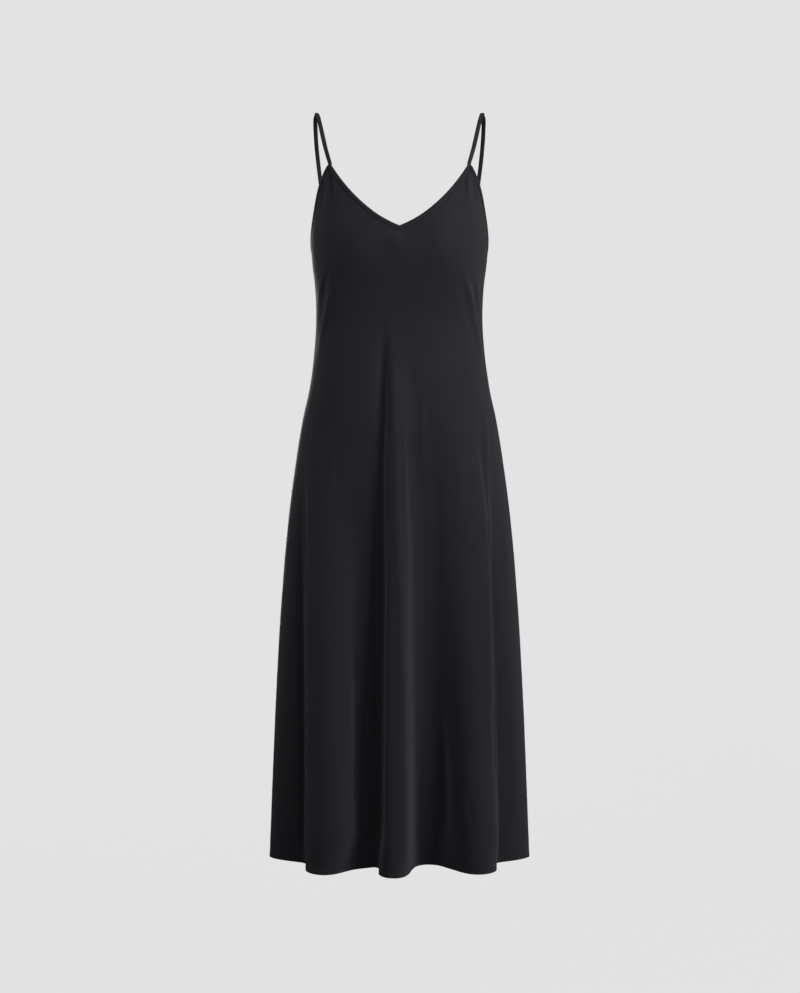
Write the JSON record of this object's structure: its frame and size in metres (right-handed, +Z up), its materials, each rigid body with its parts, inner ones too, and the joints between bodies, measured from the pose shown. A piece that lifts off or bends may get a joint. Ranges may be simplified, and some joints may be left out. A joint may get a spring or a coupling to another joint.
{
  "type": "slip dress",
  "caption": "Sleeveless midi slip dress with a V neck, narrow shoulder straps and a softly folded flared skirt, filled out and hollow.",
  "frame": {"origin": "between the shoulders, level with the undersides of the straps where they cross over them", "axes": "+Z up; the front faces -Y; +X is the right-hand side seen from the front"},
  "size_m": [0.416, 0.336, 1.1864],
  "materials": {
    "dress_cloth": "soft matt-satin black crepe with a faint violet cast",
    "binding_cloth": "the same cloth, folded double and stitched",
    "strap_cloth": "the same cloth, turned as a flat tube"
  },
  "bodies": {
    "root": {"front_panel": "dress_cloth", "back_panel": "dress_cloth", "neck_binding_front": "binding_cloth", "neck_binding_back": "binding_cloth", "armhole_binding_left": "binding_cloth", "armhole_binding_right": "binding_cloth", "strap_left": "strap_cloth", "strap_right": "strap_cloth"}
  },
  "joints": []
}
